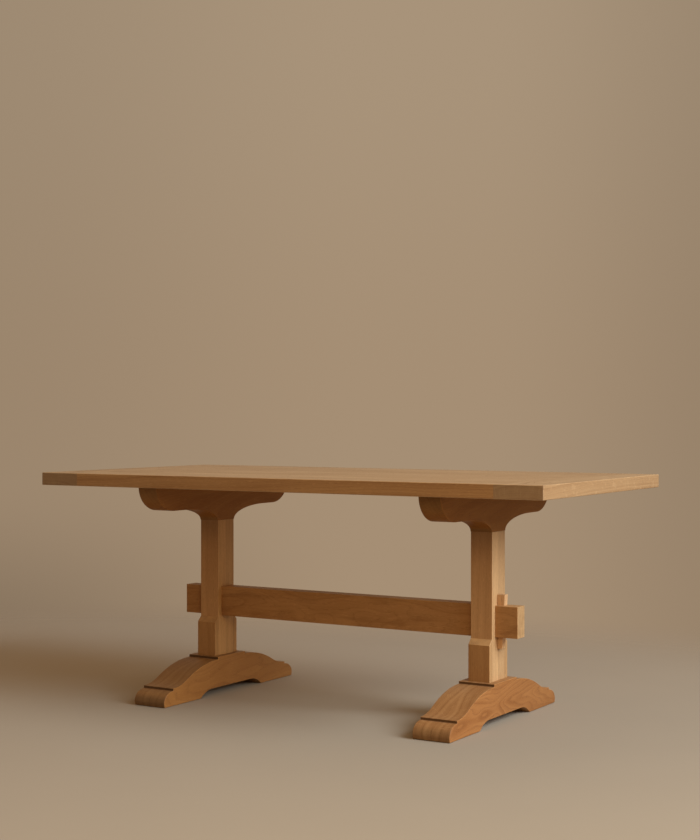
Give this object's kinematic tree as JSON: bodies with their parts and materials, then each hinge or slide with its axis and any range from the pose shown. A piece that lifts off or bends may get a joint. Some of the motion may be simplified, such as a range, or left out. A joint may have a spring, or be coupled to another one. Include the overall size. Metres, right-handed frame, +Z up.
{
  "type": "trestle dining table",
  "caption": "Oak trestle dining table with breadboard ends, curved bearers and feet, and a through-tenoned stretcher locked by wedge keys.",
  "frame": {"origin": "on the floor under the centre of the tabletop", "axes": "+X along the table from one trestle to the other, +Y across it, +Z up from the floor"},
  "size_m": [1.829, 0.914, 0.762],
  "materials": {
    "oak_top": "satin",
    "oak_base": "satin",
    "oak_keys": "satin",
    "zinc_steel": "satin",
    "insert_brass": "satin",
    "glide_plastic": "matte"
  },
  "bodies": {
    "table": {"top_board_1": "oak_top", "top_board_2": "oak_top", "top_board_3": "oak_top", "top_board_4": "oak_top", "top_board_5": "oak_top", "top_board_6": "oak_top", "breadboard_left": "oak_top", "breadboard_right": "oak_top", "bearer_left": "oak_base", "post_left_front": "oak_base", "post_left_back": "oak_base", "cheek_left_front": "oak_base", "cheek_left_back": "oak_base", "foot_left_inner": "oak_base", "foot_left_outer": "oak_base", "bearer_right": "oak_base", "post_right_front": "oak_base", "post_right_back": "oak_base", "cheek_right_front": "oak_base", "cheek_right_back": "oak_base", "foot_right_inner": "oak_base", "foot_right_outer": "oak_base", "stretcher": "oak_base", "breadboard_pegs": "oak_keys", "bearer_bolts": "zinc_steel", "bolt_washers": "zinc_steel", "top_inserts": "insert_brass", "foot_glides": "glide_plastic"},
    "left_wedge": {"key_left": "oak_keys"},
    "right_wedge": {"key_right": "oak_keys"}
  },
  "joints": [
    {"name": "left_wedge_lift", "type": "slide", "parent": "table", "child": "left_wedge", "axis": [0, 0, 1], "range_m": [0, 0.15]},
    {"name": "right_wedge_lift", "type": "slide", "parent": "table", "child": "right_wedge", "axis": [0, 0, 1], "range_m": [0, 0.15]}
  ]
}
